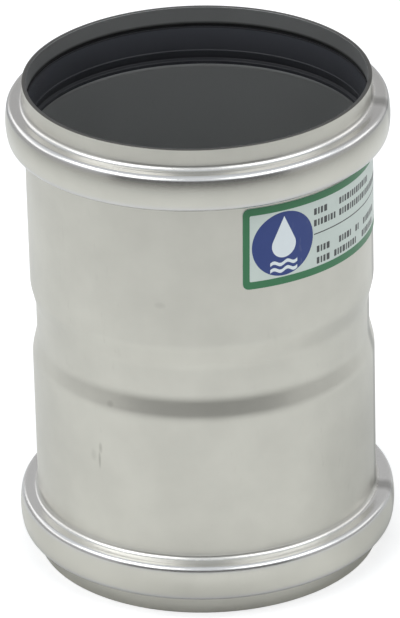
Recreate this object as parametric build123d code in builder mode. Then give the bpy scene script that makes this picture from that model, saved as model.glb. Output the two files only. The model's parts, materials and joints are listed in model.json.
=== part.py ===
from build123d import *
from math import degrees
import os

# Double socket coupling for thin-walled steel drain pipe.
# It stands on its lower rim: origin at the middle of that rim's end face, +Z along the bore.
# It is one length of pipe, widened to a socket at each end, with a rolled bead near each mouth
# that holds a seal ring. The middle keeps the size of the pipe and is the stop for both pipes.

# Pipe and sheet
pipe_od = 82.0
wall = 1.0
total_length = 125.0

# Room round the pipe, on the radius, in the socket and in the collar outside the bead
socket_play = 0.25
collar_play = 0.45

# Collar and rolled bead, as measured on their outsides. A bend's radius is on its hollow side: the
# outside at the bead's roots, and the inside at the edges of its crown.
collar_length = 5.3
bead_width = 9.4
bead_height = 4.5
crown_bulge = 0.55
root_bend_r = 1.4
edge_bend_r = 0.6

# Waist: the stretch that isn't widened, and the slopes up to the sockets
waist_length = 8.4
slope_length = 5.3
slope_bend_r = 10.0

# Seal ring: the nose rises from the groove's upper wall and the main lip from its lower wall. The
# valley, the second lip and the heel lie below that wall, where they cover the bend. Depths are
# measured outwards from the tips of the lips.
seal_back_gap = 0.2
seal_back_r = 1.0
nose_rise = 1.05
nose_depth = 0.35
nose_r = 0.12
main_lip_rise = 2.0
valley_drop = 0.2
second_lip_drop = 0.9
heel_drop = 1.6
lip_tip_half = 0.3
lip_tip_depth = 0.12
valley_depth = 0.8
valley_r = 0.25
heel_depth = 0.15

# Label on the upper socket, its left end a little to the right of the front. It was stuck on by
# hand and hangs down to the right by label_tilt. Halfway along, its top edge is label_below_bead
# under the bead.
label_width = 70.0
label_height = 21.3
label_thickness = 0.15
label_corner_r = 1.6
label_below_bead = 2.65
label_left = 13.4
label_tilt = 1.6

# Radii and levels that follow
pipe_r = pipe_od / 2
bore_r = pipe_r + socket_play
socket_r = bore_r + wall
collar_r = pipe_r + collar_play + wall
bead_r = socket_r + bead_height
crown_edge_r = bead_r - crown_bulge
mid_z = total_length / 2
bead_top_z = total_length - collar_length
bead_bottom_z = bead_top_z - bead_width
bead_mid_z = bead_top_z - bead_width / 2
groove_top_z = bead_top_z - wall
groove_bottom_z = bead_bottom_z + wall
waist_z = mid_z + waist_length / 2
slope_z = waist_z + slope_length

middle = Plane.XY.offset(mid_z)
same = 0.001


def corner(line, radius, level):
    """The point of an outline that lies at a radius and a level."""
    return line.vertices().filter_by(lambda v: abs(v.X - radius) < same and abs(v.Y - level) < same)


# Outside of the upper half, from the rim down to the middle of the waist. The edges of the crown
# are rounded by the wall more than the bend inside them.
with BuildLine() as outside:
    Polyline((collar_r, total_length), (collar_r, bead_top_z), (crown_edge_r, bead_top_z))
    ThreePointArc((crown_edge_r, bead_top_z), (bead_r, bead_mid_z), (crown_edge_r, bead_bottom_z))
    Polyline((crown_edge_r, bead_bottom_z), (socket_r, bead_bottom_z), (socket_r, slope_z),
             (pipe_r, waist_z), (pipe_r, mid_z))
    fillet(corner(outside, collar_r, bead_top_z), radius=root_bend_r)
    fillet(corner(outside, crown_edge_r, bead_top_z), radius=edge_bend_r + wall)
    fillet(corner(outside, crown_edge_r, bead_bottom_z), radius=edge_bend_r + wall)
    fillet(corner(outside, socket_r, bead_bottom_z), radius=root_bend_r)
    fillet(corner(outside, socket_r, slope_z), radius=slope_bend_r)
    fillet(corner(outside, pipe_r, waist_z), radius=slope_bend_r)

# The sheet is one wall thick everywhere, measured inwards from that outline
with BuildSketch() as half_wall:
    with BuildLine():
        add(outside.line)
        offset(amount=wall, side=Side.RIGHT)
    make_face()

# Both halves are alike, so the wall is mirrored about the middle and turned round the bore
with BuildPart() as coupling_body:
    with BuildSketch(Plane.XZ):
        add(half_wall.sketch)
        mirror(half_wall.sketch, about=Plane.XZ.offset(-mid_z))
    revolve(axis=Axis.Z)

# The space inside the upper half, out to the wall. The seal ring keeps to it.
with BuildSketch() as upper_space:
    with BuildLine():
        add(outside.line)
        Polyline((pipe_r, mid_z), (0, mid_z), (0, total_length), (collar_r, total_length))
    make_face()
    add(half_wall.sketch, mode=Mode.SUBTRACT)


def lip_tip(level):
    """The rounded tip of a lip, which touches the pipe at a level."""
    root_r = pipe_r + lip_tip_depth
    return ThreePointArc((root_r, level + lip_tip_half), (pipe_r, level), (root_r, level - lip_tip_half))


# Section of the seal ring: a nose under the collar, a long lead-in to the main lip, a valley and
# a second lip. Beside the bends it is drawn into the wall, and cut back to the space inside.
with BuildSketch() as seal_section:
    with BuildLine() as seal_outline:
        back_r = crown_edge_r - wall - seal_back_gap
        nose_z = groove_top_z + nose_rise
        valley_z = groove_bottom_z - valley_drop
        heel_z = groove_bottom_z - heel_drop
        main_lip = lip_tip(groove_bottom_z + main_lip_rise)
        second_lip = lip_tip(groove_bottom_z - second_lip_drop)
        Polyline(main_lip @ 0, (pipe_r + nose_depth, nose_z), (collar_r + root_bend_r, nose_z),
                 (collar_r + root_bend_r, groove_top_z), (back_r, groove_top_z),
                 (back_r, groove_bottom_z), (socket_r + root_bend_r, groove_bottom_z),
                 (socket_r + root_bend_r, heel_z), (pipe_r + heel_depth, heel_z), second_lip @ 1)
        Polyline(main_lip @ 1, (pipe_r + valley_depth, valley_z), second_lip @ 0)
        fillet(corner(seal_outline, pipe_r + nose_depth, nose_z), radius=nose_r)
        fillet(corner(seal_outline, pipe_r + valley_depth, valley_z), radius=valley_r)
        fillet(corner(seal_outline, back_r, groove_top_z), radius=seal_back_r)
        fillet(corner(seal_outline, back_r, groove_bottom_z), radius=seal_back_r)
    make_face()
    add(upper_space.sketch, mode=Mode.INTERSECT)

with BuildPart() as upper_seal_ring:
    with BuildSketch(Plane.XZ):
        add(seal_section.sketch)
    revolve(axis=Axis.Z)

with BuildPart() as lower_seal_ring:
    mirror(upper_seal_ring.part, about=middle)

# The label is a sheet bent round the socket: the part of a thin tube that lies in a wedge. The
# wedge stands on the label's middle and is turned by label_tilt about the line to that middle.
label_arc = degrees(label_width / socket_r)
label_mid_z = bead_bottom_z - label_below_bead - label_height / 2
label_place = Pos(0, 0, label_mid_z) * Rot(0, 0, label_left + label_arc / 2 - 90) * Rot(-label_tilt)

with BuildPart() as label:
    with Locations(Pos(0, 0, label_mid_z) * Rot(0, 0, 180)):
        Cylinder(socket_r + label_thickness, 2 * label_height)
        Cylinder(socket_r, 2 * label_height, mode=Mode.SUBTRACT)
    with Locations(label_place):
        Cylinder(bead_r, label_height, arc_size=label_arc, rotation=(0, 0, -label_arc / 2),
                 align=(Align.NONE, Align.NONE, Align.CENTER), mode=Mode.INTERSECT)
    ends = label.edges().filter_by(lambda e: abs(e.length - label_thickness) < same)
    fillet(ends, radius=label_corner_r)

os.makedirs("parts", exist_ok=True)
coupling_body.part.label = "coupling_body"
export_step(coupling_body.part, "parts/coupling_body.step")
upper_seal_ring.part.label = "upper_seal_ring"
export_step(upper_seal_ring.part, "parts/upper_seal_ring.step")
lower_seal_ring.part.label = "lower_seal_ring"
export_step(lower_seal_ring.part, "parts/lower_seal_ring.step")
label.part.label = "label"
export_step(label.part, "parts/label.step")
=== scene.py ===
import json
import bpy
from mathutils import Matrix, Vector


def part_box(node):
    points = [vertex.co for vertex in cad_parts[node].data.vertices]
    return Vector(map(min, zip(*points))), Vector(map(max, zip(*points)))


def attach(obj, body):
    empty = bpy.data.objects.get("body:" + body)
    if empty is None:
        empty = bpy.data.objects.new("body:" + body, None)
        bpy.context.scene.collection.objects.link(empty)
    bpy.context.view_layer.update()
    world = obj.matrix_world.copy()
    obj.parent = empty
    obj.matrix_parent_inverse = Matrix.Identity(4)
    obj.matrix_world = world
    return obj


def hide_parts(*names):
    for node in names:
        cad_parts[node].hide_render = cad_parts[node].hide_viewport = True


bl_info = {
    "name": "Double socket coupling",
    "version": (1, 0, 0),
    "blender": (4, 5, 0),
    "location": "View3D > Sidebar > Coupling",
    "description": "Finishes a thin-walled steel pipe coupling and sets up its studio",
    "category": "Object",
}

from math import atan, ceil, cos, degrees, pi, radians, sin, sqrt, tan

import bmesh
import bpy
from bpy.props import FloatProperty, FloatVectorProperty, PointerProperty
from mathutils import Matrix, Vector, noise

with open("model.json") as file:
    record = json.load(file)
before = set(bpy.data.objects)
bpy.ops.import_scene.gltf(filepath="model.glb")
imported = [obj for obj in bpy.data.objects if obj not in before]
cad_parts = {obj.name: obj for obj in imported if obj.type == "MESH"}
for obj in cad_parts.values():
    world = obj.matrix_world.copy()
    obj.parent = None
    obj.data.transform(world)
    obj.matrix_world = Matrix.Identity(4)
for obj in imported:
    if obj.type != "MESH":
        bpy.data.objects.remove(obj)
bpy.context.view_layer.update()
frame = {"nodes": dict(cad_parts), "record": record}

MM = 0.001
PHOTO_WIDTH = 400
PHOTO_HEIGHT = 618

body_low, body_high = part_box("coupling_body")
label_low, label_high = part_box("label")
mounts = {mount["name"]: mount for mount in frame["record"]["mounts"]}

TOTAL_LENGTH = (body_high.z - body_low.z) / MM
BEAD_RADIUS = body_high.x / MM
BORE_RADIUS = mounts["upper_socket"]["dims"]["r_mm"]
WALL = 1.0
SOCKET_RADIUS = BORE_RADIUS + WALL


def millimetres(name, description, default):
    """A length that the user can change, held in millimetres."""
    return FloatProperty(name=name, description=description, default=default, min=0.0, precision=3)


def share(name, description, default):
    """A plain factor from 0 to 1."""
    return FloatProperty(name=name, description=description, default=default, min=0.0, max=1.0,
                         subtype="FACTOR")


def colour(name, description, default):
    """A linear colour."""
    return FloatVectorProperty(name=name, description=description, default=default, size=3,
                               subtype="COLOR", min=0.0, max=1.0)


def brightness(name, description, default):
    """A radiance or a strength of light."""
    return FloatProperty(name=name, description=description, default=default, min=0.0)


class SheetSettings(bpy.types.PropertyGroup):
    """Sizes of the formed pipe, in millimetres."""

    wall: millimetres("Wall", "Thickness of the sheet", WALL)
    waist_radius: millimetres("Waist radius", "Outside of the stretch that isn't widened", 41.0)
    collar_radius: millimetres("Collar radius", "Outside of the collar at each mouth", 42.45)
    collar_length: millimetres("Collar length", "From the rim to the bead", 5.3)
    bead_width: millimetres("Bead width", "Along the bore, outside", 9.4)
    crown_bulge: millimetres("Crown bulge", "How far the bead's crown stands out past its edges", 0.65)
    root_bend: millimetres("Root bend", "Outside radius where the bead leaves the sheet", 1.4)
    edge_bend: millimetres("Edge bend", "Inside radius at the edges of the bead's crown", 0.6)
    waist_length: millimetres("Waist length", "Of the stretch that isn't widened", 8.4)
    slope_length: millimetres("Slope length", "From the waist to the socket", 5.3)
    slope_bend_radius: millimetres("Slope bend radius", "At both ends of the slope", 10.0)
    rim_round: millimetres("Rim round", "Edge break on the cut rims", 0.12)
    wobble: millimetres("Wobble", "How far the drawn sheet wanders from true", 0.03)
    # The seam's angle also places its painted dark reflection
    weld_angle: FloatProperty(name="Weld angle", description="Of the lengthwise weld, from the front",
                              default=radians(82.5), subtype="ANGLE", unit="ROTATION")
    weld_half_width: millimetres("Weld half width", "Of the dull band along the weld", 2.1)
    columns: bpy.props.IntProperty(name="Columns", description="Faces round the pipe", default=240)


class FinishSettings(bpy.types.PropertyGroup):
    """Colours and roughness of the materials."""

    steel: colour("Steel", "Pickled stainless sheet", (0.595, 0.585, 0.53))
    bead_steel: colour("Bead steel", "Where the rolls burnished it", (0.585, 0.582, 0.577))
    # Painted shade: a darker, greyer copy of the steel for the inside
    bore_steel: colour("Bore steel", "Inside, which isn't rubbed bright", (0.548, 0.556, 0.553))
    # Real rub marks, and also painted shade on the beads' outer faces
    rub: colour("Rub", "Marks left by handling", (0.16, 0.15, 0.13))
    # The seam's band is real; its dark colour is a painted reflection of a dark strip
    weld: colour("Weld", "Dull band along the weld", (0.10, 0.10, 0.09))
    # Painted shade beside the seals; the same dark colour also darkens the cut rims
    recess: colour("Recess", "Cut rims and the corners beside the seals", (0.04, 0.04, 0.04))
    steel_roughness: share("Steel roughness", "Matt pickled sheet", 0.36)
    bead_roughness: share("Bead roughness", "Where the rolls burnished the bead", 0.23)
    bore_roughness: share("Bore roughness", "How much rougher the inside is", 0.1)
    rubber: colour("Rubber", "Seal ring", (0.022, 0.023, 0.027))
    # Painted shade in the valley between the lips and on the top of the nose
    rubber_hollow: colour("Rubber hollow", "Valley between the lips", (0.004, 0.004, 0.005))
    film: colour("Film", "Label stock", (0.57, 0.64, 0.595))
    green: colour("Green", "Border of the label", (0.028, 0.165, 0.065))
    blue: colour("Blue", "Disc on the label", (0.015, 0.04, 0.19))
    white: colour("White", "Drop on the disc", (0.72, 0.78, 0.80))
    dark: colour("Dark", "Lines of the label", (0.05, 0.055, 0.055))


class LabelSettings(bpy.types.PropertyGroup):
    """Places on the label, in millimetres from its left end and its middle line."""

    width: millimetres("Width", "Of the label, round the socket", 70.0)
    height: millimetres("Height", "Of the label", 21.3)
    left_angle: FloatProperty(name="Left angle", description="Of its left end, from the front",
                              default=radians(13.4), subtype="ANGLE", unit="ROTATION")
    lean: FloatProperty(name="Lean", description="How far it hangs down to the right",
                        default=radians(1.6), subtype="ANGLE", unit="ROTATION")
    side_border: millimetres("Side border", "Width of the border at both ends", 1.7)
    long_border: millimetres("Long border", "Width of the border above and below", 1.95)
    corner: millimetres("Corner", "Radius of the label's corners", 1.6)
    disc_radius: millimetres("Disc radius", "Of the round emblem", 8.35)
    disc_place: millimetres("Disc place", "Its middle, from the left end", 10.6)
    lines_start: millimetres("Lines start", "Left end of the printed lines", 19.3)
    lines_end: millimetres("Lines end", "Right end of the printed lines", 66.0)
    ink: millimetres("Ink", "Thickness of each printed layer", 0.015)


class StudioSettings(bpy.types.PropertyGroup):
    """Camera and lamps. Distances are in metres."""

    distance: FloatProperty(name="Distance", description="Camera to the middle of the coupling",
                            default=1.4518, unit="LENGTH")
    tilt: FloatProperty(name="Tilt", description="How far the camera looks down",
                        default=radians(26.602), subtype="ANGLE", unit="ROTATION")
    roll: FloatProperty(name="Roll", description="Turn of the camera about its view",
                        default=radians(1.480), subtype="ANGLE", unit="ROTATION")
    focal_pixels: FloatProperty(name="Focal length", description="In pixels of the picture",
                                default=5889.2)
    centre_x: FloatProperty(name="Centre x", description="Where the middle falls, in pixels",
                            default=202.76)
    centre_y: FloatProperty(name="Centre y", description="Where the middle falls, in pixels",
                            default=306.90)
    ambient: brightness("Ambient", "Light of the room on matt things", 0.62)
    left_softbox: brightness("Left softbox", "Of the lamp on the left", 3.24)
    right_softbox: brightness("Right softbox", "Of the lamp on the right", 2.28)
    dark_room: brightness("Dark room", "Of the room behind the camera, near the floor", 0.18)
    side_shade: brightness("Side shade", "Of the room at the sides, near the floor", 0.54)
    side_wall: brightness("Side wall", "Of the lit walls at the sides", 1.9)
    back_wall: brightness("Back wall", "Of the wall behind the coupling", 0.7)


def settings():
    """The values that the panel shows."""
    return bpy.context.scene.coupling


class CouplingSettings(bpy.types.PropertyGroup):
    """Everything that the panel shows."""

    sheet: PointerProperty(type=SheetSettings)
    finish: PointerProperty(type=FinishSettings)
    label: PointerProperty(type=LabelSettings)
    studio: PointerProperty(type=StudioSettings)


# Shader helpers


def new_material(name):
    """An empty node material with its output node."""
    material = bpy.data.materials.new(name)
    material.use_nodes = True
    material.node_tree.nodes.clear()
    output = material.node_tree.nodes.new("ShaderNodeOutputMaterial")
    return material, material.node_tree, output


def maths(tree, operation, first, second=None, third=None):
    """One Math node. An operand is a socket or a number."""
    node = tree.nodes.new("ShaderNodeMath")
    node.operation = operation
    for slot, operand in enumerate((first, second, third)):
        if operand is None:
            continue
        if isinstance(operand, (int, float)):
            node.inputs[slot].default_value = operand
        else:
            tree.links.new(operand, node.inputs[slot])
    return node.outputs[0]


def spread(tree, value, from_low, from_high, to_low, to_high):
    """A Map Range node that keeps within its limits."""
    node = tree.nodes.new("ShaderNodeMapRange")
    tree.links.new(value, node.inputs["Value"])
    for name, limit in (("From Min", from_low), ("From Max", from_high),
                        ("To Min", to_low), ("To Max", to_high)):
        node.inputs[name].default_value = limit
    return node.outputs["Result"]


def blend_colours(tree, factor, first, second):
    """A Mix node between two colours, each a socket or a plain colour."""
    node = tree.nodes.new("ShaderNodeMix")
    node.data_type = "RGBA"
    for slot, operand in ((0, factor), (6, first), (7, second)):
        if hasattr(operand, "links"):
            tree.links.new(operand, node.inputs[slot])
        elif slot == 0:
            node.inputs[slot].default_value = operand
        else:
            node.inputs[slot].default_value = (*operand, 1.0)
    return node.outputs[2]


def new_group(name, inputs, outputs):
    """A shader group with named float inputs, and outputs of (name, type)."""
    tree = bpy.data.node_groups.new(name, "ShaderNodeTree")
    for title, default in inputs:
        socket = tree.interface.new_socket(title, in_out="INPUT", socket_type="NodeSocketFloat")
        socket.default_value = default
    for title, kind in outputs:
        tree.interface.new_socket(title, in_out="OUTPUT", socket_type=kind)
    return tree, tree.nodes.new("NodeGroupInput"), tree.nodes.new("NodeGroupOutput")


def place_group(tree, group, **values):
    """The group inside a material, with its own values."""
    node = tree.nodes.new("ShaderNodeGroup")
    node.node_tree = group
    for name, value in values.items():
        node.inputs[name.replace("_", " ").capitalize()].default_value = value
    return node


def add_bump(tree, shader, height, strength, depth):
    """A Bump node that feeds the shader's normal. The depth is in millimetres."""
    bump = tree.nodes.new("ShaderNodeBump")
    bump.inputs["Strength"].default_value = strength
    bump.inputs["Distance"].default_value = depth * MM
    tree.links.new(height, bump.inputs["Height"])
    tree.links.new(bump.outputs[0], shader.inputs["Normal"])


def grain_group():
    """Fine speckle and slow blotches, used by the steel, the rubber and the label."""
    tree, given, result = new_group(
        "grain", [("Speckle scale", 2000.0), ("Blotch scale", 60.0)],
        [("Speckle", "NodeSocketFloat"), ("Blotch", "NodeSocketFloat")])
    place = tree.nodes.new("ShaderNodeTexCoord").outputs["Object"]
    for title, detail in (("Speckle", 3.0), ("Blotch", 5.0)):
        texture = tree.nodes.new("ShaderNodeTexNoise")
        texture.inputs["Detail"].default_value = detail
        tree.links.new(place, texture.inputs["Vector"])
        tree.links.new(given.outputs[title + " scale"], texture.inputs["Scale"])
        tree.links.new(texture.outputs["Fac"], result.inputs[title])
    return tree


def handling_group():
    """Faint rub marks from handling, strongest where a slow noise is high."""
    tree, given, result = new_group("handling", [("Amount", 0.5)], [("Mask", "NodeSocketFloat")])
    place = tree.nodes.new("ShaderNodeTexCoord").outputs["Object"]
    stretched = tree.nodes.new("ShaderNodeMapping")
    stretched.inputs["Scale"].default_value = (1.0, 1.0, 0.25)
    tree.links.new(place, stretched.inputs["Vector"])
    masks = []
    for scale, low, high in ((900.0, 0.62, 0.75), (45.0, 0.5, 0.7)):
        texture = tree.nodes.new("ShaderNodeTexNoise")
        texture.inputs["Scale"].default_value = scale
        texture.inputs["Detail"].default_value = 4.0
        tree.links.new(stretched.outputs[0], texture.inputs["Vector"])
        masks.append(spread(tree, texture.outputs["Fac"], low, high, 0.0, 1.0))
    both = maths(tree, "MULTIPLY", masks[0], masks[1])
    tree.links.new(maths(tree, "MULTIPLY", both, given.outputs["Amount"]), result.inputs["Mask"])
    return tree


def shared_group(name, build):
    """The group of that name, built the first time it is asked for."""
    return bpy.data.node_groups.get(name) or build()


def radius_and_height(tree):
    """The distance from the bore's axis and the height in millimetres, and the place itself."""
    place = tree.nodes.new("ShaderNodeTexCoord").outputs["Object"]
    parts = tree.nodes.new("ShaderNodeSeparateXYZ")
    tree.links.new(place, parts.inputs[0])
    across = maths(tree, "MULTIPLY", parts.outputs["X"], parts.outputs["X"])
    along = maths(tree, "MULTIPLY", parts.outputs["Y"], parts.outputs["Y"])
    distance = maths(tree, "SQRT", maths(tree, "ADD", across, along))
    return (maths(tree, "DIVIDE", distance, MM), maths(tree, "DIVIDE", parts.outputs["Z"], MM),
            parts.outputs)


def angle_from_front(tree, parts):
    """The angle about the bore, from the camera's side and to the right, in radians."""
    return maths(tree, "ARCTAN2", parts["X"], maths(tree, "MULTIPLY", parts["Y"], -1.0))


def distance_from(tree, value, place):
    """How far a value is from a place, whichever side it is on."""
    return maths(tree, "ABSOLUTE", maths(tree, "SUBTRACT", value, place))


def facing_bore(tree, parts):
    """1 where the surface looks towards the bore's axis, and 0 outside."""
    way = tree.nodes.new("ShaderNodeSeparateXYZ")
    tree.links.new(tree.nodes.new("ShaderNodeTexCoord").outputs["Normal"], way.inputs[0])
    across = maths(tree, "MULTIPLY", parts["X"], way.outputs["X"])
    along = maths(tree, "MULTIPLY", parts["Y"], way.outputs["Y"])
    return maths(tree, "LESS_THAN", maths(tree, "ADD", across, along), 0.0)


# (angle from the front in degrees, height, half width, half height, strength) of each rub mark
RUB_MARKS = (
    (-37.5, 41.7, 0.5, 1.4, 0.30),
    (-38.0, 38.3, 0.35, 2.2, 0.38),
    (-40.5, 39.2, 0.8, 1.5, 0.12),
    (-25.0, 120.2, 0.15, 0.7, 0.6),
    (-14.0, 83.7, 1.3, 0.8, 0.13),
    (-33.3, 54.5, 0.9, 0.8, 0.22),
)


def rub_mask(tree, parts):
    """The few marks that show on the outside of the pipe, as soft ovals."""
    angle = angle_from_front(tree, parts)
    height = maths(tree, "DIVIDE", parts["Z"], MM)
    total = None
    for degrees_right, level, half_width, half_height, strength in RUB_MARKS:
        sideways = maths(tree, "SUBTRACT", angle, radians(degrees_right))
        sideways = maths(tree, "MULTIPLY", sideways, SOCKET_RADIUS / half_width)
        upward = maths(tree, "DIVIDE", maths(tree, "SUBTRACT", height, level), half_height)
        reach = maths(tree, "ADD", maths(tree, "MULTIPLY", sideways, sideways),
                      maths(tree, "MULTIPLY", upward, upward))
        oval = spread(tree, reach, 0.0, 1.6, strength, 0.0)
        total = oval if total is None else maths(tree, "MAXIMUM", total, oval)
    return total


def weld_mask(tree, parts):
    """1 along the lengthwise seam of the pipe, fading to 0 at the sides of its band, which is raised and
    darkened; the darkening is a painted reflection.
    """
    sheet = settings().sheet
    angle = angle_from_front(tree, parts)
    aside = maths(tree, "MULTIPLY", distance_from(tree, angle, sheet.weld_angle),
                  SOCKET_RADIUS / sheet.weld_half_width)
    return spread(tree, aside, 0.45, 1.45, 1.0, 0.0)


def steel_colour(tree, grain, marks, weld):
    """The colour of the sheet, from its mottle to the marks, the seam and the cut rims, with painted shade
    inside, on the beads' outer faces and beside the seals, and a painted reflection along the seam.
    """
    look = settings().finish
    sheet = settings().sheet
    radius, height, parts = radius_and_height(tree)
    inside = facing_bore(tree, parts)
    on_bead = bead_mask(tree, radius)
    from_middle = distance_from(tree, height, TOTAL_LENGTH / 2)
    bead_top = TOTAL_LENGTH / 2 - sheet.collar_length
    bead_middle = bead_top - sheet.bead_width / 2
    bead_bottom = bead_top - sheet.bead_width

    pale = [min(1.0, value * 1.03) for value in look.steel]
    dull = [value * 0.95 for value in look.steel]
    blotch = spread(tree, grain.outputs["Blotch"], 0.35, 0.65, 0.0, 1.0)
    shown = blend_colours(tree, blotch, dull, pale)
    # Painted shade: the inside gets the darker bore steel
    shown = blend_colours(tree, inside, shown, look.bore_steel[:])
    shown = blend_colours(tree, marks, shown, look.rub[:])

    from_face = distance_from(tree, distance_from(tree, from_middle, bead_middle), sheet.bead_width / 2)
    rolled = maths(tree, "MULTIPLY", on_bead, spread(tree, from_face, 0.9, 2.0, 1.0, 0.0))
    shown = blend_colours(tree, rolled, shown, look.bead_steel[:])
    # Painted shade on the outer face of each bead, in the rub colour
    on_outer_face = spread(tree, distance_from(tree, from_middle, bead_top), 0.1, 0.35, 0.22, 0.0)
    shown = blend_colours(tree, on_outer_face, shown, look.rub[:])
    # Painted reflection: the seam's band is darkened
    shown = blend_colours(tree, maths(tree, "MULTIPLY", weld, 0.52), shown, look.weld[:])

    # The cut rims are darkened. Inside, beside each seal, the colour holds painted shade: a dark line above
    # the seal's nose and a fainter one below its foot.
    on_rim = spread(tree, from_middle, TOTAL_LENGTH / 2 - 0.12, TOTAL_LENGTH / 2 - 0.03, 0.0, 0.9)
    above_seal = spread(tree, distance_from(tree, from_middle, bead_top + 0.6), 0.2, 1.0, 0.9, 0.0)
    below_seal = spread(tree, distance_from(tree, from_middle, bead_bottom - 0.7), 0.3, 1.0, 0.25, 0.0)
    beside_seal = maths(tree, "MULTIPLY", maths(tree, "MAXIMUM", above_seal, below_seal), inside)
    return blend_colours(tree, maths(tree, "MAXIMUM", on_rim, beside_seal), shown, look.recess[:])


def bead_mask(tree, radius):
    """1 on the crowns of the beads, and 0.3 on the sockets."""
    return spread(tree, radius, SOCKET_RADIUS + 0.1, SOCKET_RADIUS + 1.0, 0.3, 1.0)


def steel_material():
    """Pickled stainless sheet: matt and faintly mottled, burnished on the beads, raised and darkened along
    the seam, where the darkening is a painted reflection.
    """
    look = settings().finish
    material, tree, output = new_material("pickled_steel")
    shader = tree.nodes.new("ShaderNodeBsdfPrincipled")
    shader.inputs["Metallic"].default_value = 1.0
    tree.links.new(shader.outputs[0], output.inputs[0])
    grain = place_group(tree, shared_group("grain", grain_group),
                        speckle_scale=1500.0, blotch_scale=70.0)
    handling = place_group(tree, shared_group("handling", handling_group), amount=0.35)
    radius, _, parts = radius_and_height(tree)
    marks = maths(tree, "MAXIMUM", rub_mask(tree, parts),
                  maths(tree, "MULTIPLY", handling.outputs["Mask"], 0.25))
    weld = weld_mask(tree, parts)
    tree.links.new(steel_colour(tree, grain, marks, weld), shader.inputs["Base Color"])

    rough = maths(tree, "ADD", look.steel_roughness - 0.04,
                  maths(tree, "MULTIPLY", grain.outputs["Speckle"], 0.08))
    rough = maths(tree, "ADD", rough,
                  maths(tree, "MULTIPLY", facing_bore(tree, parts), look.bore_roughness))
    burnished = look.bead_roughness - look.steel_roughness
    rough = maths(tree, "ADD", rough, maths(tree, "MULTIPLY", bead_mask(tree, radius), burnished))
    tree.links.new(maths(tree, "ADD", rough, maths(tree, "MULTIPLY", marks, 0.2)),
                   shader.inputs["Roughness"])

    raised = maths(tree, "ADD", grain.outputs["Speckle"], maths(tree, "MULTIPLY", weld, 1.5))
    add_bump(tree, shader, raised, 0.25, 0.03)
    return material


def rubber_material():
    """Black rubber, with a painted sheen that grows towards the nose, and painted shade in the valley
    between its lips and on the top of the nose.
    """
    look = settings().finish
    sheet = settings().sheet
    material, tree, output = new_material("seal_rubber")
    shader = tree.nodes.new("ShaderNodeBsdfPrincipled")
    shader.inputs["Specular IOR Level"].default_value = 0.25
    tree.links.new(shader.outputs[0], output.inputs[0])
    grain = place_group(tree, shared_group("grain", grain_group),
                        speckle_scale=2500.0, blotch_scale=120.0)
    bloom = [value * 1.5 + 0.004 for value in look.rubber]
    clean = blend_colours(tree, grain.outputs["Blotch"], look.rubber[:], bloom)
    from_middle = distance_from(tree, radius_and_height(tree)[1], TOTAL_LENGTH / 2)
    bead_middle = TOTAL_LENGTH / 2 - sheet.collar_length - sheet.bead_width / 2
    valley = bead_middle - 4.0
    nose = bead_middle + 4.6
    # Painted sheen: the rubber is made lighter towards the nose
    dust = [value * 2.2 for value in look.rubber]
    dusty = blend_colours(tree, spread(tree, from_middle, bead_middle - 1.0, bead_middle + 4.5, 0.0, 1.0),
                          clean, dust)
    # Painted shade in the valley between the lips and on the top of the nose
    in_valley = spread(tree, distance_from(tree, from_middle, valley), 0.3, 1.1, 0.5, 0.0)
    on_nose = spread(tree, from_middle, nose - 0.35, nose, 0.0, 0.8)
    hidden = maths(tree, "MAXIMUM", on_nose, in_valley)
    tree.links.new(blend_colours(tree, hidden, dusty, look.rubber_hollow[:]), shader.inputs["Base Color"])
    tree.links.new(spread(tree, grain.outputs["Speckle"], 0.3, 0.7, 0.34, 0.46),
                   shader.inputs["Roughness"])
    add_bump(tree, shader, grain.outputs["Speckle"], 0.2, 0.02)
    return material


def print_material(name, base):
    """Label film or ink: satin, with a little uneven cover."""
    material, tree, output = new_material(name)
    shader = tree.nodes.new("ShaderNodeBsdfPrincipled")
    tree.links.new(shader.outputs[0], output.inputs[0])
    grain = place_group(tree, shared_group("grain", grain_group),
                        speckle_scale=3000.0, blotch_scale=150.0)
    handling = place_group(tree, shared_group("handling", handling_group), amount=0.3)
    thin = [min(1.0, value * 1.06 + 0.01) for value in base]
    thick = [value * 0.95 for value in base]
    cover = blend_colours(tree, grain.outputs["Blotch"], thick, thin)
    tree.links.new(blend_colours(tree, handling.outputs["Mask"], cover, (0.4, 0.42, 0.4)),
                   shader.inputs["Base Color"])
    tree.links.new(spread(tree, grain.outputs["Speckle"], 0.3, 0.7, 0.32, 0.44),
                   shader.inputs["Roughness"])
    add_bump(tree, shader, grain.outputs["Speckle"], 0.12, 0.01)
    return material


# Mesh helpers


def dress(piece, material):
    """Gives a piece its material and its body."""
    piece.data.materials.clear()
    piece.data.materials.append(material)
    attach(piece, "root")


def link_mesh(name, mesh_data):
    """A new object from a bmesh, with smooth faces."""
    mesh = bpy.data.meshes.new(name)
    bmesh.ops.recalc_face_normals(mesh_data, faces=mesh_data.faces)
    for face in mesh_data.faces:
        face.smooth = True
    mesh_data.to_mesh(mesh)
    mesh_data.free()
    piece = bpy.data.objects.new(name, mesh)
    bpy.context.scene.collection.objects.link(piece)
    return piece


def bend(before, corner, after, radius, steps):
    """Points with their outward normals round one rounded corner of the section."""
    to_before = (before - corner).normalized()
    to_after = (after - corner).normalized()
    half_turn = (pi - to_before.angle(to_after)) / 2
    reach = radius * tan(half_turn)
    start = corner + to_before * reach
    end = corner + to_after * reach
    middle = corner + (to_before + to_after).normalized() * (radius / cos(half_turn))
    hollow = (to_before.x * to_after.y - to_before.y * to_after.x) < 0
    points = []
    for step in range(steps + 1):
        part = step / steps
        arm = ((start - middle) * sin((1 - part) * 2 * half_turn)
               + (end - middle) * sin(part * 2 * half_turn)) / sin(2 * half_turn)
        outward = arm.normalized() if not hollow else -arm.normalized()
        points.append((middle + arm, outward))
    return points


# How far up the arc of the crown its rounded edges begin
CROWN_SHARE = 0.72

# Points this close to both ends of a straight stretch keep the shading of its bends apart, in mm
BEND_GUARD = 0.14


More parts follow.
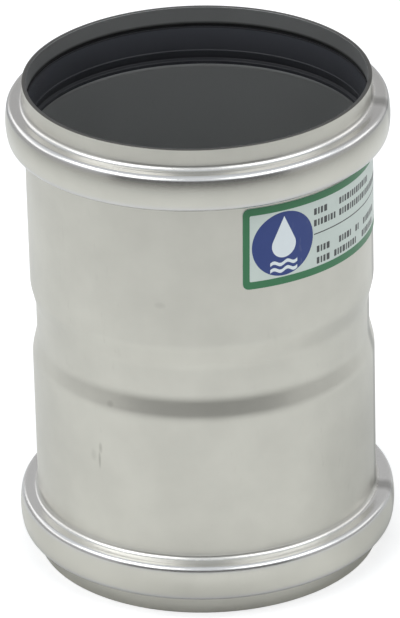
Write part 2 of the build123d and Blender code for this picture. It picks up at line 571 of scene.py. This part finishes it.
def half_section():
    """Outside of the upper half as (point, outward normal), from the rim down to the middle."""
    sheet = settings().sheet
    top = TOTAL_LENGTH
    bead_top = top - sheet.collar_length
    bead_bottom = bead_top - sheet.bead_width
    bead_middle = (bead_top + bead_bottom) / 2
    edge = BEAD_RADIUS - sheet.crown_bulge
    waist = TOTAL_LENGTH / 2 + sheet.waist_length / 2
    slope = waist + sheet.slope_length
    outer_bend = sheet.edge_bend + sheet.wall

    rim = Vector((sheet.collar_radius, top))
    hollow_top = Vector((sheet.collar_radius, bead_top))
    edge_top = Vector((edge, bead_top))
    edge_bottom = Vector((edge, bead_bottom))
    hollow_bottom = Vector((SOCKET_RADIUS, bead_bottom))
    slope_top = Vector((SOCKET_RADIUS, slope))
    slope_bottom = Vector((sheet.waist_radius, waist))
    middle = Vector((sheet.waist_radius, TOTAL_LENGTH / 2))

    crown_radius = ((sheet.bead_width / 2) ** 2 + sheet.crown_bulge ** 2) / (2 * sheet.crown_bulge)
    crown_centre = Vector((BEAD_RADIUS - crown_radius, bead_middle))
    lean = atan(sheet.bead_width / 2 / (crown_radius - sheet.crown_bulge))
    edge_lean = lean * CROWN_SHARE
    towards = Vector((cos(edge_lean), sin(edge_lean))) * crown_radius
    crown_start = crown_centre + towards
    crown_end = crown_centre + Vector((towards.x, -towards.y))

    section = [(rim, Vector((1, 0)))]
    section += bend(rim, hollow_top, edge_top, sheet.root_bend, 8)
    section += bend(hollow_top, edge_top, crown_start, outer_bend, 9)
    for step in range(-5, 6):
        angle = -lean * (CROWN_SHARE - 0.06) * step / 5
        ray = Vector((cos(angle), sin(angle)))
        section.append((crown_centre + ray * crown_radius, ray))
    section += bend(crown_end, edge_bottom, hollow_bottom, outer_bend, 9)
    section += bend(edge_bottom, hollow_bottom, slope_top, sheet.root_bend, 8)
    section += bend(hollow_bottom, slope_top, slope_bottom, sheet.slope_bend_radius, 5)
    section += bend(slope_top, slope_bottom, middle, sheet.slope_bend_radius, 5)
    section.append((middle, Vector((1, 0))))
    return section


def filled(section, step):
    """The section with its long straight stretches divided."""
    dense = [section[0]]
    for (start, _), (end, normal) in zip(section, section[1:]):
        length = (end - start).length
        count = max(1, ceil(length / step))
        shares = [part / count for part in range(1, count)]
        if count > 1:
            shares = [BEND_GUARD / length] + shares + [1 - BEND_GUARD / length]
        for part in shares:
            dense.append((start.lerp(end, part), normal))
        dense.append((end, normal))
    return dense


def wall_loop():
    """The closed section of the sheet: outside from top to bottom, then inside back up."""
    sheet = settings().sheet
    upper = filled(half_section(), 1.6)
    lower = [(Vector((point.x, TOTAL_LENGTH - point.y)), Vector((normal.x, -normal.y)))
             for point, normal in reversed(upper[:-1])]
    outside = upper + lower
    inside = [point - normal * sheet.wall for point, normal in reversed(outside)]
    outside = [point for point, normal in outside]
    radius = sheet.rim_round
    loop = []
    for chain, side in ((outside, -1), (inside, 1)):
        first, last = chain[0], chain[-1]
        start_way = 1 if first.y < last.y else -1
        ends = []
        for end, way in ((first, start_way), (last, -start_way)):
            corner = []
            for turn in (0.0, pi / 4, pi / 2):
                sideways = side * radius * (1 - cos(turn))
                upward = way * radius * (1 - sin(turn))
                corner.append(Vector((end.x + sideways, end.y + upward)))
            ends.append(corner)
        loop += list(reversed(ends[0])) + chain[1:-1] + ends[1]
    return loop


def form_wobble(angle, level):
    """How far the drawn sheet wanders in or out, in millimetres."""
    amount = settings().sheet.wobble
    slow = noise.noise(Vector((cos(angle) * 1.3, sin(angle) * 1.3, level / 40)))
    quick = noise.noise(Vector((cos(angle) * 7, sin(angle) * 7, level / 3 + 20)))
    return amount * (slow + 0.35 * quick)


def body_mesh():
    """The section turned round the bore. The bore and both rims are left true."""
    columns = settings().sheet.columns
    loop = wall_loop()
    built = bmesh.new()
    rings = []
    for column in range(columns):
        angle = 2 * pi * column / columns
        ring = []
        for point in loop:
            radius = point.x
            if radius > BORE_RADIUS + 0.5 and 0.5 < point.y < TOTAL_LENGTH - 0.5:
                radius += form_wobble(angle, point.y)
            ring.append(built.verts.new((radius * cos(angle) * MM, radius * sin(angle) * MM, point.y * MM)))
        rings.append(ring)
    for column, ring in enumerate(rings):
        beside = rings[(column + 1) % len(rings)]
        for row in range(len(ring)):
            following = (row + 1) % len(ring)
            built.faces.new((ring[row], beside[row], beside[following], ring[following]))
    return built


def label_point(across, up, radius):
    """A place on the label, across from its left end and up from its middle line."""
    label = settings().label
    turn = (across - label.width / 2) / SOCKET_RADIUS
    flat = Vector((radius * cos(turn), radius * sin(turn), up))
    leaning = Matrix.Rotation(-label.lean, 3, "X") @ flat
    middle_angle = label.left_angle + label.width / 2 / SOCKET_RADIUS
    place = Matrix.Rotation(middle_angle - pi / 2, 3, "Z") @ leaning
    outward = Vector((place.x, place.y)).normalized() * radius
    level = (label_low.z + label_high.z) / 2 / MM + place.z
    return Vector((outward.x, outward.y, level)) * MM


# Width of the strips that a printed layer is wrapped in, in millimetres
WRAP_STEP = 0.8


def printed_patch(name, flat, layer, material):
    """A thin printed layer: flat shapes wrapped round the socket and given a thickness."""
    label = settings().label
    built = bmesh.new()
    for outline in flat:
        built.faces.new([built.verts.new((across, up, 0.0)) for across, up in outline])
    bmesh.ops.remove_doubles(built, verts=built.verts, dist=0.0005)
    lowest = min(vert.co.x for vert in built.verts)
    highest = max(vert.co.x for vert in built.verts)
    cut = lowest + WRAP_STEP
    while cut < highest:
        bmesh.ops.bisect_plane(built, geom=built.verts[:] + built.edges[:] + built.faces[:],
                               plane_co=(cut, 0, 0), plane_no=(1, 0, 0))
        cut += WRAP_STEP
    film_radius = label_surface_radius()
    under = film_radius + (layer - 1) * label.ink - 0.004
    raised = bmesh.ops.extrude_face_region(built, geom=built.faces[:])
    upper = {element for element in raised["geom"] if isinstance(element, bmesh.types.BMVert)}
    for vert in built.verts:
        radius = film_radius + layer * label.ink if vert in upper else under
        vert.co = label_point(vert.co.x, vert.co.y, radius)
    piece = link_mesh(name, built)
    for face in piece.data.polygons:
        face.use_smooth = False
    dress(piece, material)


def label_surface_radius():
    """Outside of the label, from the frame."""
    film = frame["nodes"]["label"].data
    return max(sqrt(vert.co.x ** 2 + vert.co.y ** 2) for vert in film.vertices) / MM


def rounded_outline(left, right, bottom, top, radius, steps=6):
    """A rectangle with round corners, anticlockwise."""
    corners = ((right - radius, top - radius, 0), (left + radius, top - radius, 90),
               (left + radius, bottom + radius, 180), (right - radius, bottom + radius, 270))
    points = []
    for centre_x, centre_y, start in corners:
        for step in range(steps + 1):
            turn = radians(start + 90 * step / steps)
            points.append((centre_x + radius * cos(turn), centre_y + radius * sin(turn)))
    return points


def border_shapes():
    """The border, as quads between two rounded outlines, just inside the label's cut edge."""
    label = settings().label
    half = label.height / 2
    inset = 0.03
    outer = rounded_outline(inset, label.width - inset, -half + inset, half - inset, label.corner - inset)
    side, long = label.side_border, label.long_border
    inner = rounded_outline(side, label.width - side, -half + long, half - long, 0.35)
    count = len(outer)
    return [[outer[i], outer[(i + 1) % count], inner[(i + 1) % count], inner[i]] for i in range(count)]


def disc_shape(centre, radius, steps=72):
    """A round disc on the label's middle line."""
    return [[(centre + radius * cos(2 * pi * step / steps), radius * sin(2 * pi * step / steps))
             for step in range(steps)]]


def drop_shapes(centre, size):
    """A plain water drop over two waves."""
    round_radius = 0.44 * size
    tip = 0.98 * size
    low = -0.05 * size
    touch = degrees(atan(sqrt((tip - low) ** 2 - round_radius ** 2) / round_radius))
    drop = [(centre, tip)]
    for step in range(33):
        turn = radians(90 + touch + (360 - 2 * touch) * step / 32)
        drop.append((centre + round_radius * cos(turn), low + round_radius * sin(turn)))
    waves = []
    for level in (-0.62, -0.86):
        crest = []
        for step in range(25):
            across = -0.5 + step / 24
            crest.append((centre + size * across, size * (level + 0.05 * sin(across * 12.6))))
        trough = [(across, up - 0.12 * size) for across, up in crest]
        waves += [[crest[i], trough[i], trough[i + 1], crest[i + 1]] for i in range(24)]
    return [drop] + waves


# Widths of the blocks that stand in a printed row, one after the other
BLOCK_WIDTHS = (0.85, 0.5, 0.7, 1.0, 0.45, 0.75, 0.6)

# Each printed line: its level and its rows of blocks, as shares of the line's length
PRINT_LINES = (
    (5.9, ((0.0, 0.10), (0.19, 0.52))),
    (2.9, ((0.0, 0.15), (0.19, 0.78))),
    (-4.2, ((0.02, 0.12), (0.19, 0.30), (0.35, 0.38), (0.45, 0.62))),
    (-7.2, ((0.02, 0.10), (0.15, 0.36), (0.43, 0.60))),
)


def line_shapes():
    """The dividing line, and rows of small plain blocks above and below it."""
    label = settings().label
    length = label.lines_end - label.lines_start
    thin = 0.14
    half_block = 0.85
    gap = 0.42
    shapes = [[(label.lines_start, -thin), (label.lines_end, -thin), (label.lines_end, thin),
               (label.lines_start, thin)]]
    for level, rows in PRINT_LINES:
        for start, end in rows:
            place = label.lines_start + start * length
            last = label.lines_start + end * length
            turn = 0
            while place < last:
                width = BLOCK_WIDTHS[turn % len(BLOCK_WIDTHS)]
                shapes.append(rounded_outline(place, place + width, level - half_block, level + half_block,
                                              0.12, steps=2))
                place += width + gap
                turn += 1
    return shapes


class COUPLING_OT_form_body(bpy.types.Operator):
    """Form the pipe from its section and give it its steel."""

    bl_idname = "coupling.form_body"
    bl_label = "Form body"

    def execute(self, context):
        body = link_mesh("formed_pipe", body_mesh())
        dress(body, steel_material())
        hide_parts("coupling_body")
        return {"FINISHED"}


class COUPLING_OT_fit_seals(bpy.types.Operator):
    """Give both seal rings their rubber."""

    bl_idname = "coupling.fit_seals"
    bl_label = "Fit seals"

    def execute(self, context):
        rubber = rubber_material()
        for name in ("upper_seal_ring", "lower_seal_ring"):
            ring = frame["nodes"][name]
            ring.data.materials.clear()
            ring.data.materials.append(rubber)
        return {"FINISHED"}


class COUPLING_OT_stick_label(bpy.types.Operator):
    """Give the label its film and print its border, emblem and lines."""

    bl_idname = "coupling.stick_label"
    bl_label = "Stick label"

    def execute(self, context):
        look = settings().finish
        label = settings().label
        film = frame["nodes"]["label"]
        film.data.materials.clear()
        film.data.materials.append(print_material("label_film", tuple(look.film)))
        printed_patch("label_border", border_shapes(), 1, print_material("green_ink", tuple(look.green)))
        printed_patch("label_disc", disc_shape(label.disc_place, label.disc_radius), 1,
                      print_material("blue_ink", tuple(look.blue)))
        printed_patch("label_drop", drop_shapes(label.disc_place, label.disc_radius * 0.88), 2,
                      print_material("white_ink", tuple(look.white)))
        printed_patch("label_lines", line_shapes(), 1, print_material("dark_ink", tuple(look.dark)))
        return {"FINISHED"}


def stage_plane(name, corners, material):
    """A flat piece of the studio."""
    mesh = bpy.data.meshes.new(name)
    mesh.from_pydata(corners, [], [tuple(range(len(corners)))])
    piece = bpy.data.objects.new(name, mesh)
    bpy.context.scene.collection.objects.link(piece)
    mesh.materials.append(material)


def floor_material():
    """Pale floor, lit a little for the camera so that it meets the white background.

    Reflections show it dimmer round the base of the coupling, far away and on the right: painted shadows
    and painted shade in the colour that only glossy rays see.
    """
    material, tree, output = new_material("studio_floor")
    plain = tree.nodes.new("ShaderNodeBsdfDiffuse")
    lift = tree.nodes.new("ShaderNodeEmission")
    light_path = tree.nodes.new("ShaderNodeLightPath")
    radius, _, parts = radius_and_height(tree)
    distance = maths(tree, "MULTIPLY", radius, MM)
    # Painted shade for reflections: the floor's colour seen by glossy rays is dimmed far away, round the
    # coupling's base as a painted contact shadow, and on the right as a painted shadow of the coupling, and
    # lifted a little at the sides and behind.
    far = spread(tree, distance, 0.15, 0.62, 1.0, 0.45)
    angle = angle_from_front(tree, parts)
    beside = spread(tree, maths(tree, "ABSOLUTE", angle), radians(8), radians(38), 0.0, 1.0)
    foot_ahead = spread(tree, distance, 0.044, 0.085, 0.66, 1.0)
    foot_beside = spread(tree, distance, 0.0435, 0.054, 0.70, 0.99)
    foot = maths(tree, "ADD", maths(tree, "MULTIPLY", foot_beside, beside),
                 maths(tree, "MULTIPLY", foot_ahead, maths(tree, "SUBTRACT", 1.0, beside)))
    front = spread(tree, maths(tree, "ABSOLUTE", angle), radians(30), radians(115), 0.98, 1.12)
    to_right = distance_from(tree, angle, radians(105))
    shade = maths(tree, "MULTIPLY", spread(tree, to_right, radians(25), radians(60), 0.2, 0.0),
                  spread(tree, distance, 0.1, 0.17, 1.0, 0.0))
    dimming = maths(tree, "MULTIPLY", maths(tree, "MULTIPLY", foot, far), front)
    dimming = maths(tree, "MULTIPLY", dimming, maths(tree, "SUBTRACT", 1.0, shade))
    mirrored = blend_colours(tree, dimming, (0.0, 0.0, 0.0), (0.98, 0.98, 0.97))
    tree.links.new(blend_colours(tree, light_path.outputs["Is Glossy Ray"], (0.72, 0.72, 0.72), mirrored),
                   plain.inputs["Color"])
    tree.links.new(maths(tree, "MULTIPLY", light_path.outputs["Is Camera Ray"], 0.5),
                   lift.inputs["Strength"])
    both = tree.nodes.new("ShaderNodeAddShader")
    tree.links.new(plain.outputs[0], both.inputs[0])
    tree.links.new(lift.outputs[0], both.inputs[1])
    tree.links.new(both.outputs[0], output.inputs[0])
    return material


def card_material(name, strength):
    """A studio card of an even brightness."""
    material, tree, output = new_material(name)
    glow = tree.nodes.new("ShaderNodeEmission")
    glow.inputs["Strength"].default_value = strength
    tree.links.new(glow.outputs[0], output.inputs[0])
    return material


def reflection_card(name, azimuth_from, azimuth_to, low, high, distance, strength):
    """A curved card seen only in reflections: degrees from the camera's side, heights in metres."""
    steps = max(2, int((azimuth_to - azimuth_from) / 5))
    mesh = bpy.data.meshes.new(name)
    points = []
    for step in range(steps + 1):
        turn = radians(azimuth_from + (azimuth_to - azimuth_from) * step / steps)
        for level in (low, high):
            points.append((distance * sin(turn), -distance * cos(turn), level))
    faces = [(2 * i, 2 * i + 2, 2 * i + 3, 2 * i + 1) for i in range(steps)]
    mesh.from_pydata(points, [], faces)
    card = bpy.data.objects.new(name, mesh)
    bpy.context.scene.collection.objects.link(card)
    mesh.materials.append(card_material(name, strength))
    card.visible_camera = False
    card.visible_diffuse = False
    card.visible_shadow = False


def softbox(name, azimuth, elevation, distance, size, radiance):
    """A rectangular area lamp aimed at the coupling: angles in degrees, lengths in metres."""
    lamp = bpy.data.lights.new(name, "AREA")
    lamp.shape = "RECTANGLE"
    lamp.size, lamp.size_y = size
    lamp.energy = radiance * size[0] * size[1] * pi
    box = bpy.data.objects.new(name, lamp)
    bpy.context.scene.collection.objects.link(box)
    target = Vector((0, 0, TOTAL_LENGTH / 2 * MM))
    turn, rise = radians(azimuth), radians(elevation)
    away = Vector((sin(turn) * cos(rise), -cos(turn) * cos(rise), sin(rise)))
    box.location = target + away * distance
    box.rotation_euler = away.to_track_quat("Z", "Y").to_euler()


def studio_world():
    """A white room to the camera and in reflections, and a plain soft light on matt things."""
    studio = settings().studio
    world = bpy.data.worlds.new("studio_room")
    bpy.context.scene.world = world
    world.use_nodes = True
    tree = world.node_tree
    tree.nodes.clear()
    output = tree.nodes.new("ShaderNodeOutputWorld")
    background = tree.nodes.new("ShaderNodeBackground")
    light_path = tree.nodes.new("ShaderNodeLightPath")
    seen = maths(tree, "MAXIMUM", light_path.outputs["Is Camera Ray"],
                 maths(tree, "MAXIMUM", light_path.outputs["Is Glossy Ray"],
                       light_path.outputs["Is Transmission Ray"]))
    tree.links.new(spread(tree, seen, 0.0, 1.0, studio.ambient, 1.0), background.inputs["Strength"])
    tint = blend_colours(tree, light_path.outputs["Is Camera Ray"], (0.93, 0.965, 1.0), (1.0, 1.0, 1.0))
    tree.links.new(tint, background.inputs["Color"])
    tree.links.new(background.outputs[0], output.inputs[0])


def studio_camera():
    """The photograph's view."""
    studio = settings().studio
    camera = bpy.data.cameras.new("camera")
    camera.sensor_fit = "VERTICAL"
    camera.sensor_height = 36.0
    camera.lens = studio.focal_pixels * camera.sensor_height / PHOTO_HEIGHT
    camera.shift_x = (PHOTO_WIDTH / 2 - studio.centre_x) / PHOTO_HEIGHT
    camera.shift_y = (studio.centre_y - PHOTO_HEIGHT / 2) / PHOTO_HEIGHT
    camera.clip_start = 0.05
    viewer = bpy.data.objects.new("camera", camera)
    bpy.context.scene.collection.objects.link(viewer)
    bpy.context.scene.camera = viewer
    target = Vector((0, 0, TOTAL_LENGTH / 2 * MM))
    away = Vector((0, -cos(studio.tilt), sin(studio.tilt)))
    right = Vector((1, 0, 0))
    up = away.cross(right)
    turned_right = right * cos(studio.roll) - up * sin(studio.roll)
    turned_up = up * cos(studio.roll) + right * sin(studio.roll)
    columns = Matrix((turned_right, turned_up, away)).transposed().to_4x4()
    viewer.matrix_world = Matrix.Translation(target + away * studio.distance) @ columns


class COUPLING_OT_set_stage(bpy.types.Operator):
    """Set up the floor, the lamps, the room and the camera."""

    bl_idname = "coupling.set_stage"
    bl_label = "Set stage"

    def execute(self, context):
        studio = settings().studio
        reach = 6.0
        stage_plane("studio_floor", [(-reach, -reach, 0), (reach, -reach, 0), (reach, reach, 0),
                                     (-reach, reach, 0)], floor_material())
        softbox("left_softbox", -60, 47, 1.3, (1.3, 0.5), studio.left_softbox)
        softbox("right_softbox", 56, 47, 1.3, (1.3, 0.5), studio.right_softbox)
        reflection_card("dark_room", -50, 50, 0.001, 0.39, 0.7, studio.dark_room)
        reflection_card("left_shade", -140, -50, 0.001, 0.31, 0.7, studio.side_shade)
        reflection_card("right_shade", 50, 120, 0.001, 0.31, 0.7, studio.side_shade)
        reflection_card("left_wall", -150, -95, 0.36, 0.85, 1.2, studio.side_wall)
        reflection_card("right_wall", 95, 128, 0.36, 0.85, 1.2, studio.side_wall)
        reflection_card("back_wall", 128, 210, 0.001, 2.1, 1.3, studio.back_wall)
        studio_world()
        studio_camera()
        context.scene.view_settings.view_transform = "Standard"
        return {"FINISHED"}


class COUPLING_PT_panel(bpy.types.Panel):
    """Sizes, finishes and the steps that build the coupling."""

    bl_idname = "COUPLING_PT_panel"
    bl_label = "Double socket coupling"
    bl_space_type = "VIEW_3D"
    bl_region_type = "UI"
    bl_category = "Coupling"

    def draw(self, context):
        layout = self.layout
        for group in (context.scene.coupling.sheet, context.scene.coupling.finish,
                      context.scene.coupling.label, context.scene.coupling.studio):
            box = layout.box()
            for name in group.__annotations__:
                box.prop(group, name)
        for operator in STEPS:
            layout.operator(operator.bl_idname)


STEPS = (COUPLING_OT_form_body, COUPLING_OT_fit_seals, COUPLING_OT_stick_label, COUPLING_OT_set_stage)
CLASSES = (SheetSettings, FinishSettings, LabelSettings, StudioSettings, CouplingSettings,
           *STEPS, COUPLING_PT_panel)


def register():
    for item in CLASSES:
        bpy.utils.register_class(item)
    bpy.types.Scene.coupling = PointerProperty(type=CouplingSettings)


def unregister():
    del bpy.types.Scene.coupling
    for item in reversed(CLASSES):
        bpy.utils.unregister_class(item)


def main():
    register()
    bpy.ops.coupling.form_body()
    bpy.ops.coupling.fit_seals()
    bpy.ops.coupling.stick_label()
    bpy.ops.coupling.set_stage()


if __name__ == "__main__":
    main()
